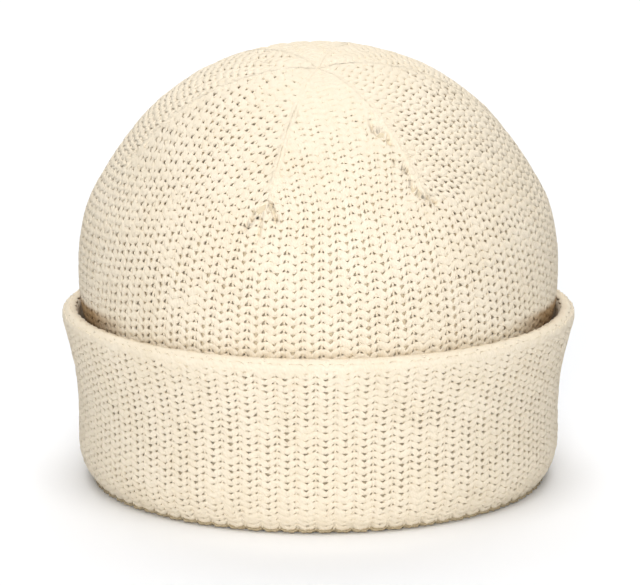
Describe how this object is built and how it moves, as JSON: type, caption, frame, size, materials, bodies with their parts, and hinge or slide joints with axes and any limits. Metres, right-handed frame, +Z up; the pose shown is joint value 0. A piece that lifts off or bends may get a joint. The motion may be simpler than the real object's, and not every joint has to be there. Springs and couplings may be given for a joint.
{
  "type": "fisherman beanie",
  "caption": "Knit cap in thick cream rib: a close, darted, rounded crown and a wide turned-up double cuff with a rolled lip, open below for the head.",
  "frame": {"origin": "centre of the bounding box's foot: the middle of the ring that the cuff's bottom fold stands on", "axes": "+Z up through the crown, -Y towards the front, +X towards the wearer's left, the picture's right"},
  "size_m": [0.1972, 0.1972, 0.1688],
  "materials": {
    "cream_knit": "matte wool rib knit"
  },
  "bodies": {
    "root": {"crown": "cream_knit", "cuff": "cream_knit"}
  },
  "joints": []
}
